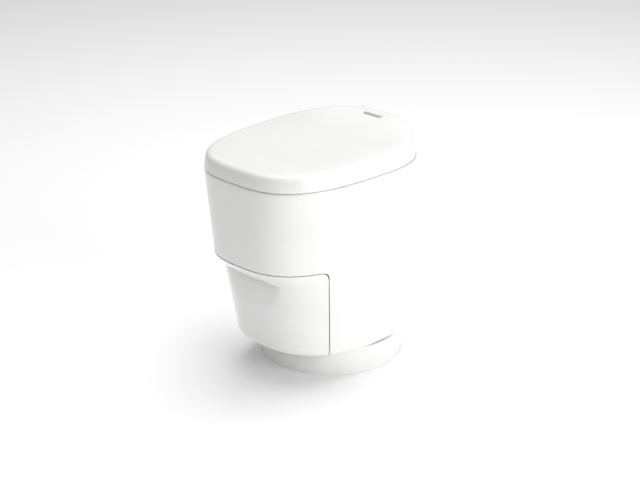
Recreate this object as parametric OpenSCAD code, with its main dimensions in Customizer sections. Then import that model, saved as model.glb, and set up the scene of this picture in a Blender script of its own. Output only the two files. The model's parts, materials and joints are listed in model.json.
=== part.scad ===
// Cassette toilet for a recreational vehicle.
// A tapering shell stands on a round swivel pedestal. The lower front is the face of a drawer
// that carries the waste cassette. +Z is up, -Y is the front, +X is the user's left-hand side.
// The origin is on the floor, under the centre of the overall box.

/* [Overall] */
// Width over the rim
width = 386; // [360:1:420]
// Depth from the front of the rim to the back of the rim
depth = 492; // [470:1:520]
// Height of the body's top edge above the floor
rim_z = 496; // [485:1:520]
// How far behind the middle of the depth the plan is widest
widest_y = 37; // [25:1:50]

/* [Body shell] */
// Wall thickness of the body and of the drawer's face
wall = 4; // [3:0.5:5]
// Height of the line where the drawer's face starts
parting_z = 296; // [294:1:300]
// Height of the crease under the sloped grip band
chin_z = 258; // [250:1:265]
// Height where the walls end and the bottom fillet starts
foot_z = 100; // [95:1:110]
// Height of the body's underside
bottom_z = 70; // [68:1:72]
// How much narrower each side is at the parting line than at the rim
parting_side_taper = 9; // [4:1:14]
// How much further back the front is at the parting line than at the rim
parting_front_taper = 13; // [6:1:20]
// How far the grip band leans in at the front
chin_step = 32; // [24:1:36]
// How much further back the front is at the foot than at the chin
foot_front_taper = 26; // [14:1:30]
// How much narrower each side is at the foot than at the parting line
foot_side_taper = 11; // [6:1:13]
// How much further forward the back is at the foot than at the rim
foot_rear_taper = 16; // [10:1:18]
// How far the bottom fillet reaches in at the front
fillet_front = 26; // [15:1:32]
// How far the bottom fillet reaches in at the sides and the back
fillet_side = 6; // [5:1:10]
// Width of the bottom lip behind the fillet
lip_w = 9; // [6:1:12]

/* [Lid and seat] */
// Gap between the body's top edge and the lid
seam_gap = 2.5; // [1.5:0.5:4]
// Height of the lid's front above its lower edge
lid_h = 36; // [34:1:40]
// Extra height of the lid at its back
lid_rise = 33; // [26:1:36]
// Wall of the lid
lid_wall = 4; // [3:0.5:5]
// How far the lid's back edge stays in front of the body's back
lid_back_gap = 9; // [8:1:14]
// Height of the seat ring
seat_h = 20; // [16:1:22]
// Height of the seat buffers, which hold the ring above the rim
seat_buffer_h = 5; // [4:0.5:7]
// Half the width of the hole in the seat
seat_hole_hw = 106; // [98:1:112]
// Half the length of the hole in the seat
seat_hole_hl = 136; // [125:1:142]

/* [Hinge] */
// Radius of the hinge pin
pin_r = 4; // [3:0.5:5]
// Radial clearance of the pin in what turns on it
pin_gap = 0.06; // [0.03:0.01:0.1]
// Radius of the barrels that turn on the pin
barrel_r = 18; // [16:0.5:18]
// Length of one of the seat's or the lid's barrels
barrel_l = 15; // [12:1:17]
// Half the width of the barrels' row, which fills the notch at the lid's back
barrels_hw = 67; // [62:1:72]

/* [Bowl] */
// Half the width of the bowl's mouth
bowl_hw = 116; // [108:1:122]
// Half the length of the bowl's mouth
bowl_hl = 147; // [135:1:152]
// Distance of the mouth's middle in front of the origin
bowl_front = 14; // [5:1:20]
// Wall thickness of the bowl
bowl_wall = 4; // [3:0.5:5]
// Radius of the outlet
outlet_r = 36; // [30:1:38]
// Distance of the outlet's axis behind the origin
outlet_y = 5; // [0:1:10]

/* [Cassette] */
// Half the width of the cassette
tank_hw = 128; // [115:1:131]
// Room between the foot of the drawer's face and the cassette
tank_front_gap = 35; // [32:1:50]
// Room between the foot of the shell's back and the cassette
tank_back_gap = 80; // [60:1:90]
// Height of the cassette's top above the floor
tank_top_z = 270; // [255:1:271]
// Height of the lowered shelf for the pour-out spout
spout_shelf_z = 230; // [220:1:232]
// Wall of the cassette
tank_wall = 3.5; // [2.5:0.5:4]
// Radius of the cassette's upright corners
tank_corner = 46; // [40:1:50]
// Radius of the two transport wheels
wheel_r = 20; // [16:1:22]
// Radius of the pour-out spout
spout_r = 17; // [14:1:18]
// Length of the pour-out spout from its pivot
spout_l = 78; // [60:1:84]

/* [Valve] */
// Height of the housing that the blade slides in
housing_h = 14; // [13:0.5:15]
// Thickness of the sliding blade
blade_t = 5; // [4:0.5:6]
// Teeth on the full circle of the opener gear
gear_teeth = 32; // [28:1:34]
// Tooth size, as pitch diameter over teeth
gear_module = 2.5; // [2.25:0.05:2.6]
// Angle that the opener turns, in degrees
open_angle = 120; // [110:1:125]

/* [Drawer] */
// Gap around the drawer's face
drawer_gap = 2; // [1.5:0.5:3]
// How far forward of the origin the drawer's face ends on each side
door_y = 104; // [95:1:110]
// Radius of the opening's upper corners
door_corner = 26; // [14:1:30]
// How much further back the drawer's face reaches at the bottom than at the top
door_lean = 22; // [16:1:30]
// Length of the telescopic rails
rail_l = 222; // [210:1:228]
// Thickness of the rails' steel
rail_t = 2; // [1.5:0.5:2.5]
// Distance of the rails from the middle
rail_x = 96; // [88:1:98]
// Half the width of the finger recess under the grip band
grip_hw = 92; // [70:1:105]
// Depth of the finger recess
grip_depth = 24; // [16:1:28]

/* [Pedestal] */
// Radius of the round pedestal
pedestal_r = 169; // [155:1:170]
// Distance of the swivel axis behind the origin
swivel_y = 63; // [55:1:64]
// Wall of the pedestal
pedestal_wall = 5; // [4:0.5:7]
// Radius of the hollow swivel spindle
spindle_r = 30; // [26:1:34]
// Pitch circle radius of the floor screws
screw_pcr = 148; // [140:1:150]
// Radius of the holes for the floor screws
screw_hole_r = 3.25; // [2.5:0.25:4.5]

/* [Hidden] */

$fn = 64;
plan_n = 72;              // points round the shell's plan
fit_gap = 0.3;            // gap between pieces that lie against each other
cut = 40;                 // how far cutting shapes run past what they cut
panel_y = widest_y;       // the control panel sits where the side is flattest
panel_z = 430;
hw = width / 2;
front_y = -depth / 2;
back_y = depth / 2;

function mix(a, b, t) = a + (b - a) * t;
function spow(v, e) = sign(v) * pow(abs(v), e);

// Size of the shell at a height: [half-width, front reach, back reach, front and back exponents].
// Reaches are measured from the widest line.
rim_size = [hw, widest_y - front_y, back_y - widest_y, 3.08, 2.7];
parting_size = rim_size - [parting_side_taper, parting_front_taper, foot_rear_taper / 2, 0.3, -0.2];
chin_size = parting_size - [0.2, chin_step, 0.2, 0.02, -0.02];
foot_size = [parting_size[0] - foot_side_taper, chin_size[1] - foot_front_taper,
    rim_size[2] - foot_rear_taper, 2.4, 3.2];
bottom_size = foot_size - [fillet_side, fillet_front, fillet_side - 2, 0, 0];

// Ends of the cassette, measured forward and back from the origin
tank_front = foot_size[1] - widest_y - tank_front_gap;
tank_back = foot_size[2] + widest_y - tank_back_gap;

// Quarter of an ellipse: how much of the fillet is used at a share of its height
function fillet_share(t) = 1 - sqrt(max(0, 1 - t * t));
function body_size(z) =
    z >= parting_z ? mix(parting_size, rim_size, (z - parting_z) / (rim_z - parting_z)) :
    z >= chin_z ? mix(chin_size, parting_size, (z - chin_z) / (parting_z - chin_z)) :
    z >= foot_z ? mix(foot_size, chin_size, (z - foot_z) / (chin_z - foot_z)) :
    mix(foot_size, bottom_size, fillet_share(min(1, (foot_z - z) / (foot_z - bottom_z))));

// Point of a plan at angle a. The plan is a superellipse with its own front and back halves.
function plan_point(size, inset, a) =
    let(n = sin(a) < 0 ? size[3] : size[4],
        reach = (sin(a) < 0 ? size[1] : size[2]) - inset)
    [(size[0] - inset) * spow(cos(a), 2 / n), widest_y + reach * spow(sin(a), 2 / n)];
function plan(size, inset = 0) = [for (i = [0 : plan_n - 1]) plan_point(size, inset, 360 * i / plan_n)];
function at_height(points, z) = [for (p = points) [p[0], p[1], z]];

// The crease under the grip band is level across the front and rises into the parting line
// on the way to the sides. Each ring is lifted by its share of that rise.
crease_from = front_y + 31;        // where the rise starts
crease_to = -20;                   // where the crease has met the parting line
function smooth(t) = let(u = max(0, min(1, t))) u * u * (3 - 2 * u);
function lift_share(z) =
    z >= parting_z || z <= foot_z ? 0 :
    z >= chin_z ? (parting_z - z) / (parting_z - chin_z) : (z - foot_z) / (chin_z - foot_z);
function crease_lift(y) = (parting_z - chin_z - 4) * smooth((y - crease_from) / (crease_to - crease_from));
function shell_ring(z, inset = 0) = [for (p = plan(body_size(z), inset))
    [p[0], p[1], z + crease_lift(p[1]) * lift_share(z)]];

// Closed solid through rings that all have the same number of points
module loft(rings) {
    n = len(rings[0]);
    last = len(rings) - 1;
    polyhedron(
        points = [for (ring = rings) each ring],
        faces = concat(
            [[for (i = [0 : n - 1]) i]],
            [for (k = [0 : last - 1], i = [0 : n - 1])
                let(j = (i + 1) % n) each [
                    [k * n + i, (k + 1) * n + i, k * n + j],
                    [k * n + j, (k + 1) * n + i, (k + 1) * n + j]]],
            [[for (i = [n - 1 : -1 : 0]) last * n + i]]));
}

// Levels that the shell's loft passes through, from the bottom up
body_levels = concat(
    [for (k = [5 : -1 : 0]) foot_z - (foot_z - bottom_z) * sin(18 * k)],
    [150, 205, chin_z, chin_z + 12, parting_z - 12, parting_z, 345, 400, 450, rim_z]);

module body_outer() {
    loft([for (z = body_levels) shell_ring(z)]);
}

// The space inside the walls. It runs out through the top and, inside the lip, the bottom.
module body_inner() {
    inner_levels = [for (z = body_levels) if (z > bottom_z + wall) z];
    loft(concat(
        [at_height(plan(bottom_size, lip_w), bottom_z - cut),
         at_height(plan(bottom_size, lip_w), bottom_z + wall),
         at_height(plan(body_size(bottom_z + wall), wall), bottom_z + wall + 0.5)],
        [for (z = inner_levels) if (z > bottom_z + wall + 1) shell_ring(z, wall)],
        [at_height(plan(rim_size, wall), rim_z + cut)]));
}

// The part of space that belongs to the drawer's face, seen along X. Its back edge leans, and
// its top corner is an arc that the edge runs into.
lean_angle = atan(door_lean / (parting_z - bottom_z));
module drawer_region(gap) {
    low = bottom_z - cut;
    centre = [-door_y - gap - door_corner, parting_z - gap - door_corner];
    arc = [for (a = [-lean_angle : (90 + lean_angle) / 8 : 90.01]) centre + door_corner * [cos(a), sin(a)]];
    rotate([90, 0, 90])
    linear_extrude(width + cut, center = true)
    polygon(concat(
        [[front_y - cut, low], [arc[0][0] + (arc[0][1] - low) * tan(lean_angle), low]],
        arc,
        [[front_y - cut, parting_z - gap]]));
}

module body_shell() {
    color("white")
    resize([0, 0, 0])
    difference() {
        body_outer();
        body_inner();
        drawer_region(0);
        panel_pose() cube([panel_w + 1, panel_h + 1, 30], center = true);
        translate([inlet_x, back_y, inlet_z]) rotate([90, 0, 0])
            cylinder(r = inlet_r + fit_gap, h = cut, center = true);
    }
}

// ---- Pedestal and swivel ----
ring_z = bottom_z - 4;             // top of the pedestal
ring_in = 112;                     // inner radius of the swivel ring
ring_out = 150;                    // outer radius of the swivel ring
flange_t = 5;                      // floor flange and top web
spindle_wall = 6;
plate_t = 6;                       // thickness of the base plate
plate_front = door_lean - door_y + 2;
retainer_t = 4;
retainer_w = 9;                    // width of the retaining ring
spindle_top = bottom_z + plate_t + fit_gap + retainer_t;
screw_count = 4;
screw_access_r = 9;                // holes above the floor screws, for the driver

module on_swivel() { translate([0, swivel_y, 0]) children(); }
module at_screws() {
    for (k = [0 : screw_count - 1])
        rotate(45 + k * 360 / screw_count) translate([screw_pcr, 0, 0]) children();
}

module pedestal() {
    color("white")
    on_swivel()
    difference() {
        union() {
            cylinder(r = pedestal_r, h = ring_z, $fn = 128);
            cylinder(r = spindle_r, h = spindle_top);
        }
        // Hollow inside, between the floor flange and the top web
        translate([0, 0, flange_t])
        difference() {
            cylinder(r = pedestal_r - pedestal_wall, h = ring_z - 2 * flange_t);
            cylinder(r = spindle_r, h = ring_z);
        }
        // The floor flange is a ring
        translate([0, 0, -1])
        difference() {
            cylinder(r = screw_pcr - 12, h = flange_t + 2);
            cylinder(r = spindle_r, h = flange_t + 2);
        }
        translate([0, 0, -1]) cylinder(r = spindle_r - spindle_wall, h = spindle_top + 2);
        at_screws() {
            translate([0, 0, -1]) cylinder(r = screw_hole_r, h = flange_t + 2);
            translate([0, 0, ring_z - flange_t - 1]) cylinder(r = screw_access_r, h = flange_t + 2);
        }
    }
}

module swivel_ring() {
    color("dimgray")
    on_swivel() translate([0, 0, ring_z + fit_gap])
    difference() {
        cylinder(r = ring_out, h = bottom_z - ring_z - 2 * fit_gap);
        translate([0, 0, -1]) cylinder(r = ring_in, h = bottom_z);
        at_screws() translate([0, 0, -1]) cylinder(r = screw_access_r, h = bottom_z);
    }
}

module swivel_retainer() {
    color("silver")
    on_swivel() translate([0, 0, bottom_z + plate_t + fit_gap])
    difference() {
        cylinder(r = spindle_r + retainer_w, h = retainer_t);
        translate([0, 0, -1]) cylinder(r = spindle_r, h = retainer_t + 2);
    }
}

// ---- Structure inside the body ----
module base_plate() {
    color("gainsboro")
    difference() {
        intersection() {
            translate([0, 0, bottom_z]) linear_extrude(plate_t) polygon(plan(bottom_size, lip_w + fit_gap));
            translate([-hw, plate_front, 0]) cube([width, depth, rim_z]);
        }
        on_swivel() translate([0, 0, bottom_z - 1]) cylinder(r = spindle_r + pin_gap, h = plate_t + 2);
    }
}

roof_z = parting_z + 1;            // the shelf between the cassette bay and the works above
roof_t = 4;
neck_hole_r = outlet_r + bowl_wall + 3;
dog_hole_r = 15;

module bay_roof() {
    color("gainsboro")
    difference() {
        translate([0, 0, roof_z]) linear_extrude(roof_t) polygon(plan(parting_size, wall + fit_gap));
        translate([0, outlet_y, roof_z - 1]) cylinder(r = neck_hole_r, h = roof_t + 2);
        translate([gear_x, gear_y, roof_z - 1]) cylinder(r = dog_hole_r, h = roof_t + 2);
    }
}

// ---- Bowl ----
bowl_n = 60;                       // points round the bowl
flange_h = 5;                      // thickness of the bowl's top flange
neck_top_z = 330;
// Bowl sections: [height, half-width, half-length, middle, exponent]
bowl_sections = [
    [neck_top_z, outlet_r, outlet_r, outlet_y, 2],
    [342, outlet_r + 6, outlet_r + 8, outlet_y - 1, 2],
    [362, 62, 72, outlet_y - 4, 2.05],
    [395, 84, 102, outlet_y - 10, 2.15],
    [435, 101, 127, -bowl_front + 2, 2.25],
    [475, bowl_hw - 3, bowl_hl - 4, -bowl_front, 2.3],
    [rim_z, bowl_hw, bowl_hl, -bowl_front, 2.3]];
function bowl_ring(s, grow, z) = [for (i = [0 : bowl_n - 1])
    let(a = 360 * i / bowl_n)
    [(s[1] + grow) * spow(cos(a), 2 / s[4]), s[3] + (s[2] + grow) * spow(sin(a), 2 / s[4]), z]];

module bowl() {
    neck_z = seal_top_z + fit_gap;
    color("white")
    resize([0, 0, 0])
    difference() {
        union() {
            loft(concat(
                [bowl_ring(bowl_sections[0], bowl_wall, neck_z)],
                [for (s = bowl_sections) bowl_ring(s, bowl_wall, min(s[0], rim_z - flange_h / 2))]));
            translate([0, 0, rim_z - flange_h])
                linear_extrude(flange_h) polygon(plan(body_size(rim_z - flange_h), wall + fit_gap));
        }
        loft(concat(
            [bowl_ring(bowl_sections[0], 0, bottom_z)],
            [for (s = bowl_sections) bowl_ring(s, 0, s[0])],
            [bowl_ring(bowl_sections[len(bowl_sections) - 1], 0, rim_z + cut)]));
        nozzle_place() translate([0, 0, -8]) cylinder(r = nozzle_r + fit_gap, h = 16, $fn = 32);
    }
}

// ---- Flush water ----
nozzle_r = 7;
pipe_r = 5;
nozzle_y = bowl_hl - bowl_front - 4;
nozzle_z = 462;
inlet_x = 70;
inlet_z = 330;
inlet_r = 9;
valve_y = back_y - 50;              // front-to-back place of the flush valve

module nozzle_place() { translate([0, nozzle_y, nozzle_z]) rotate([90, 0, 0]) children(); }

module bowl_nozzle() {
    color("lightgray")
    nozzle_place()
    difference() {
        union() {
            translate([0, 0, -9]) cylinder(r = nozzle_r, h = 19);
            translate([0, 0, 9]) cylinder(r1 = nozzle_r + 4, r2 = nozzle_r + 1, h = 5);
            translate([0, 0, -11]) cylinder(r = nozzle_r + 3, h = 3);
        }
        translate([0, 0, 4]) cylinder(r = 3, h = 12);
    }
}

// Rigid pipe from the flush valve up to the nozzle
module flush_pipe() {
    top = nozzle_z;
    back = valve_y - 4;
    color("lightgray")
    union() {
        translate([0, back, nozzle_z]) rotate([90, 0, 0]) cylinder(r = pipe_r, h = back - nozzle_y - 11.5);
        translate([0, back, nozzle_z]) sphere(r = pipe_r);
        translate([0, back, 372.3]) cylinder(r = pipe_r, h = top - 372.3);
    }
}

module flush_valve() {
    color("slategray")
    union() {
        translate([-18, valve_y - 22, roof_z + roof_t + fit_gap]) cube([36, 40, 6]);
        translate([-14, valve_y - 18, roof_z + roof_t + fit_gap]) cube([28, 28, 46]);
        translate([0, valve_y - 4, 340]) cylinder(r = 12, h = 32);
        translate([13, valve_y - 4, inlet_z]) rotate([0, 90, 0]) cylinder(r = 6, h = inlet_x - 13);
    }
}

module water_inlet() {
    color("slategray")
    difference() {
        union() {
            translate([inlet_x, back_y - 2, inlet_z]) rotate([90, 0, 0]) cylinder(r = inlet_r, h = 46);
            translate([inlet_x - 1, valve_y - 4, inlet_z]) rotate([0, 90, 0]) cylinder(r = 8, h = 12);
        }
        translate([inlet_x, back_y, inlet_z]) rotate([90, 0, 0]) cylinder(r = 6, h = 22);
        translate([inlet_x - 2, valve_y - 4, inlet_z]) rotate([0, 90, 0]) cylinder(r = 6.3, h = 4);
    }
}

// ---- Blade valve: actuator, dog, gear, blade ----
gear_r = gear_teeth * gear_module / 2;
pitch = PI * gear_module;
blade_hw = outlet_r + 10;
rack_w = 3;                        // strip beside the blade that carries the rack's teeth
gear_x = -(blade_hw + rack_w - gear_module + gear_r);
gear_y = -38;
blade_travel = gear_r * open_angle * PI / 180;
housing_z = tank_top_z;
blade_z = housing_z + 4;
seal_top_z = housing_z + housing_h + 4;
fin_w = 8;
fin_h = 5;
fin_l = 22;
actuator_h = 38;

module at_gear() { translate([gear_x, gear_y, 0]) children(); }

module valve_actuator() {
    base = roof_z + roof_t + fit_gap;
    color("dimgray")
    difference() {
        union() {
            at_gear() translate([0, 0, base]) cylinder(r = 26, h = actuator_h);
            at_gear() translate([-16, 0, base]) cube([32, 62, actuator_h - 10]);
            at_gear() translate([-34, -8, base]) cube([68, 16, 4]);
        }
        at_gear() translate([0, 0, base - 1]) cylinder(r = 8 + pin_gap, h = 21);
    }
}

module valve_dog() {
    base = housing_z + housing_h + fit_gap + 1;
    shaft_top = roof_z + roof_t + 18;
    color("silver")
    difference() {
        at_gear() union() {
            translate([0, 0, base]) cylinder(r = 13, h = roof_z + roof_t - base);
            translate([0, 0, base]) cylinder(r = 8, h = shaft_top - base);
        }
        at_gear() translate([-(fin_w / 2 + 0.5), -14, base - 1]) cube([fin_w + 1, 28, fin_h + 1.5]);
    }
}

// Tooth outline: how far the flank stands from the tooth's middle at a radius or height
tooth_add = 0.8 * gear_module;
tooth_ded = 1.15 * gear_module;
tooth_half = 0.21 * pitch;
tooth_slope = 0.36;
sector_from = -18;
sector_to = open_angle + 18;

module opener_gear() {
    step = 360 / gear_teeth;
    first = ceil(sector_from / step);
    last = floor(sector_to / step);
    outline = [for (k = [first : last]) each [
        for (side = [[-1, -1], [-1, 1], [1, 1], [1, -1]])
            let(r = gear_r + (side[1] < 0 ? -tooth_ded : tooth_add),
                half = tooth_half - side[1] * tooth_slope * (side[1] < 0 ? tooth_ded : tooth_add),
                a = (k + 0.5) * step + side[0] * half / r * 180 / PI)
            [r * cos(a), r * sin(a)]]];
    z = blade_z + fit_gap;
    color("orange")
    at_gear()
    difference() {
        union() {
            translate([0, 0, z]) linear_extrude(blade_t - 2 * fit_gap) polygon(concat([[0, 0]], outline));
            translate([0, 0, z]) cylinder(r = 12, h = housing_z + housing_h - z);
            translate([-fin_w / 2, -fin_l / 2, housing_z + housing_h - 1]) cube([fin_w, fin_l, fin_h + 1]);
        }
        translate([0, 0, z - 1]) cylinder(r = 5 + pin_gap, h = 9);
    }
}

blade_front = outlet_y - outlet_r - 17;
blade_back = outlet_y + outlet_r + 10;

module valve_blade() {
    teeth_from = ceil((blade_front + tooth_half - gear_y) / pitch);
    teeth_to = floor((blade_back - tooth_half - gear_y) / pitch);
    root = tooth_half + tooth_slope * tooth_ded;
    tip = tooth_half - tooth_slope * tooth_add;
    line_x = gear_x + gear_r;
    tooth = [[tooth_ded, root], [-tooth_add, tip], [-tooth_add, -tip], [tooth_ded, -root]];
    teeth = [for (k = [teeth_to : -1 : teeth_from]) each [for (p = tooth)
        [line_x + p[0], gear_y + k * pitch + p[1]]]];
    color("lightsteelblue")
    translate([0, 0, blade_z + fit_gap])
    linear_extrude(blade_t - 2 * fit_gap)
    polygon(concat(
        [[line_x + tooth_ded, blade_front - 1], [blade_hw, blade_front - 1], [blade_hw, blade_back + 1],
         [line_x + tooth_ded, blade_back + 1]],
        teeth));
}

// ---- Hinge ----
lid_z = rim_z + seam_gap;          // lower edge of the lid
// Height of the lid's top edge: nearly level, then sweeping up at the back
function lid_top(y) =
    let(t = (y - front_y) / depth, s = max(0, (t - 0.73) / 0.27))
    lid_z + lid_h + lid_rise * (0.41 * t + 0.59 * s * s);
hinge_y = back_y - 20;
hinge_z = lid_top(hinge_y) - barrel_r;
notch_y = hinge_y - 8.5;           // front edge of the notch in the lid's top
barrel_gap = 0.8;                  // sideways gap between neighbouring barrels
lid_barrel_x = barrels_hw - barrel_l;
seat_barrel_x = lid_barrel_x - barrel_gap - barrel_l;
post_hw = seat_barrel_x - barrel_gap;
post_front = 14;                   // how far the post reaches in front of the axis
post_back = 3.5;                   // how far it reaches behind the axis
leaf_t = 3;

module both_sides() { children(); mirror([1, 0, 0]) children(); }
// Extrudes a (y, z) outline along X from x0 over a length
module along_x(x0, length) { translate([x0, 0, 0]) rotate([90, 0, 90]) linear_extrude(length) children(); }
// Cylinder on the hinge axis
module on_axis(x0, length, r) {
    translate([x0, hinge_y, hinge_z]) rotate([0, 90, 0]) cylinder(r = r, h = length);
}
module pin_bore() { on_axis(-barrels_hw - 1, 2 * barrels_hw + 2, pin_r + pin_gap); }

module hinge_base() {
    foot_t = 4;
    color("white")
    difference() {
        union() {
            translate([-post_hw, hinge_y - post_front - 8, rim_z])
                cube([2 * post_hw, post_front + 20, foot_t]);
            translate([-post_hw, hinge_y - post_front, rim_z])
                cube([2 * post_hw, post_front + post_back, hinge_z - rim_z]);
            on_axis(-post_hw, 2 * post_hw, barrel_r);
        }
        pin_bore();
    }
}

module hinge_pin() {
    color("silver") on_axis(-barrels_hw + 1, 2 * barrels_hw - 2, pin_r);
}

// ---- Seat ----
seat_z = rim_z + seat_buffer_h;
seat_back = hinge_y - 42;
seat_size = [hw - lid_wall - 8, rim_size[1] - lid_wall - 8, seat_back - widest_y, 3.1, 3];
pad_x = 146;
pad_ys = [-100, 80];
seat_pad_r = 8;
lid_pad_r = 6;

module seat_ring() {
    hole = function(grow, z) [z, seat_hole_hw + grow, seat_hole_hl + grow, -bowl_front, 2.3];
    rings = [[0, 3], [3, 0], [seat_h - 8, 0], [seat_h - 3, 2], [seat_h - 1, 6], [seat_h, 12]];
    color("white")
    resize([0, 0, 0])
    difference() {
        loft([for (r = rings) at_height(plan(seat_size, r[1]), seat_z + r[0])]);
        loft([for (s = [[-cut, 4], [2, 4], [seat_h - 8, 0], [seat_h - 2, 3], [seat_h, 9], [seat_h + cut, 9]])
            bowl_ring(hole(s[1], 0), 0, seat_z + s[0])]);
    }
}

// Each bracket is a leaf under the seat that rises behind it to a barrel on the pin
module seat_brackets() {
    low = rim_z + 1.6;
    top = seat_z;
    color("white")
    difference() {
        both_sides() union() {
            on_axis(seat_barrel_x, barrel_l, barrel_r);
            along_x(seat_barrel_x, barrel_l) polygon([
                [seat_back - 34, low], [seat_back - 34, top],
                [seat_back + 1.5, top], [seat_back + 1.5, top + 14],
                [hinge_y - 13, hinge_z + 6], [hinge_y - 5, hinge_z - 13], [seat_back + 18, low]]);
        }
        pin_bore();
    }
}

module seat_buffers() {
    color("gray")
    both_sides() for (y = pad_ys)
        translate([pad_x, y, rim_z + fit_gap]) cylinder(r = seat_pad_r, h = seat_buffer_h - 2 * fit_gap);
}

// ---- Lid ----
lid_size = [hw, rim_size[1], rim_size[2] - lid_back_gap, rim_size[3], rim_size[4]];
function lid_ring(inset, drop) = [for (p = plan(lid_size, inset)) [p[0], p[1], lid_top(p[1]) + drop]];

module lid_shell() {
    outer = [[1.4, -22], [3.4, -12], [5.4, -6.5], [8.4, -2.8], [12.5, -0.7], [18, 0],
        [45, 0.8], [90, 1.5], [168, 1.8]];
    color("white")
    resize([0, 0, 0])
    difference() {
        loft(concat([at_height(plan(lid_size), lid_z)], [for (r = outer) lid_ring(r[0], r[1])]));
        loft(concat(
            [at_height(plan(lid_size, lid_wall), lid_z - cut)],
            [for (r = outer) lid_ring(r[0] + lid_wall, r[1] - lid_wall)]));
        translate([-barrels_hw - 0.5, notch_y, lid_z - cut]) cube([2 * barrels_hw + 1, cut, 3 * cut]);
        on_axis(-barrels_hw - 0.5, 2 * barrels_hw + 1, barrel_r + 0.6);
    }
}

// Each bracket is a leaf under the lid that runs back to a barrel on the pin
module lid_brackets() {
    start = notch_y - 46;
    top = function(y) lid_top(y) - lid_wall - fit_gap;
    color("white")
    difference() {
        both_sides() union() {
            on_axis(lid_barrel_x, barrel_l, barrel_r);
            along_x(lid_barrel_x, barrel_l) polygon(concat(
                [for (k = [0 : 6]) let(y = mix(start, notch_y - 5, k / 6)) [y, top(y)]],
                [[hinge_y - 8, hinge_z + 10], [hinge_y - 14, hinge_z]],
                [for (k = [3 : -1 : 0]) let(y = mix(start, notch_y - 16, k / 3)) [y, top(y) - leaf_t]]));
        }
        pin_bore();
    }
}

module lid_buffers() {
    color("gray")
    both_sides() for (y = pad_ys)
        translate([pad_x, y, seat_z + seat_h + fit_gap])
            cylinder(r = lid_pad_r, h = lid_top(y) - lid_wall - (seat_z + seat_h + fit_gap));
}

module lid_badge() {
    badge_y = notch_y - 14;
    color("silver")
    translate([0, badge_y, lid_top(badge_y) + 0.9])
    rotate([atan((lid_top(badge_y + 5) - lid_top(badge_y - 5)) / 10), 0, 0])
    linear_extrude(1.2) polygon(rounded(60, 9, 4.5));
}

// ---- Control panel on the left side ----
panel_w = 100;
panel_h = 46;
panel_tilt = atan(parting_side_taper / (rim_z - parting_z));
button_r = 11;
button_x = 30;
lamp_r = 2.4;

function rounded(w, h, r) = [for (q = [0 : 3], a = [0 : 15 : 90])
    let(c = [[1, 1], [-1, 1], [-1, -1], [1, -1]][q])
    [c[0] * (w / 2 - r) + r * cos(a + 90 * q), c[1] * (h / 2 - r) + r * sin(a + 90 * q)]];

// Stands on the left wall: x runs to the front, y up the wall, z outwards
module panel_pose() {
    translate([-body_size(panel_z)[0], panel_y, panel_z])
    rotate([0, -panel_tilt, 0]) rotate([90, 0, -90]) children();
}

module control_panel() {
    back = -wall - 5;
    color("dimgray")
    panel_pose()
    difference() {
        translate([0, 0, back]) linear_extrude(1.2 - back) polygon(rounded(panel_w, panel_h, 4));
        for (s = [-1, 1]) translate([s * button_x, 0, back - 1]) cylinder(r = button_r + fit_gap, h = 20);
        for (k = [-1 : 1]) translate([0, 12 * k, back - 1]) cylinder(r = lamp_r + 0.1, h = 20);
    }
}

module push_button(x) {
    panel_pose() translate([x, 0, -wall - 4]) cylinder(r = button_r, h = wall + 4 + 2.2);
}
module flush_button() { color("silver") push_button(-button_x); }
module valve_button() { color("silver") push_button(button_x); }
module level_lamps() {
    color("green") panel_pose() for (k = [-1 : 1]) translate([0, 12 * k, -6]) cylinder(r = lamp_r, h = 7.4);
}

// ---- Rails ----
rail_y = plate_front + 2;
rail_z = bottom_z + plate_t;
tray_z = foot_z;
rail_half = 12;
// Upright channel: outer half-width, bottom and top
module channel(half, low, high) {
    both_sides() difference() {
        translate([rail_x - half, rail_y, low]) cube([2 * half, rail_l, high - low]);
        translate([rail_x - half + rail_t, rail_y - 1, low + rail_t])
            cube([2 * (half - rail_t), rail_l + 2, high]);
    }
}
nest = rail_t + fit_gap;
module fixed_rails() { color("silver") channel(rail_half, rail_z, rail_z + 16); }
module middle_rails() { color("lightsteelblue") channel(rail_half - nest, rail_z + nest, rail_z + 18); }
module drawer_rails() {
    half = rail_half - 2 * nest;
    low = rail_z + 2 * nest;
    color("silver")
    both_sides() difference() {
        translate([rail_x - half, rail_y, low]) cube([2 * half, rail_l, tray_z - low]);
        translate([rail_x - half + rail_t, rail_y - 1, low - 1])
            cube([2 * (half - rail_t), rail_l + 2, tray_z - rail_t - low + 1]);
    }
}

// ---- Drawer ----
tray_t = 3;
tray_lip = 2;
screw_x = 30;
screw_y = -tank_front - 10;
boss_r = 7;
screw_r = 2.4;

boss_places = [[screw_x, screw_y], [screw_x + 44, screw_y + 2]];
module at_bosses(z) { both_sides() for (b = boss_places) translate([b[0], b[1], z]) children(); }

function tank_plan(grow) =
    let(outline = rounded(2 * (tank_hw + grow), tank_front + tank_back + 2 * grow, tank_corner + grow))
    [for (p = outline) [p[0], p[1] + (tank_back - tank_front) / 2]];

grip_height = 52;                  // how far the recess reaches below the grip band
module grip_scoop(grow) {
    face_y = widest_y - chin_size[1];
    intersection() {
        translate([0, face_y - 6, chin_z - 1])
            scale([grip_hw + grow, grip_depth + 6 + grow, grip_height + grow]) sphere(r = 1, $fn = 48);
        translate([-width, -depth, chin_z - 1 - cut * 3]) cube([2 * width, depth, cut * 3 + grow]);
    }
}

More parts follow.
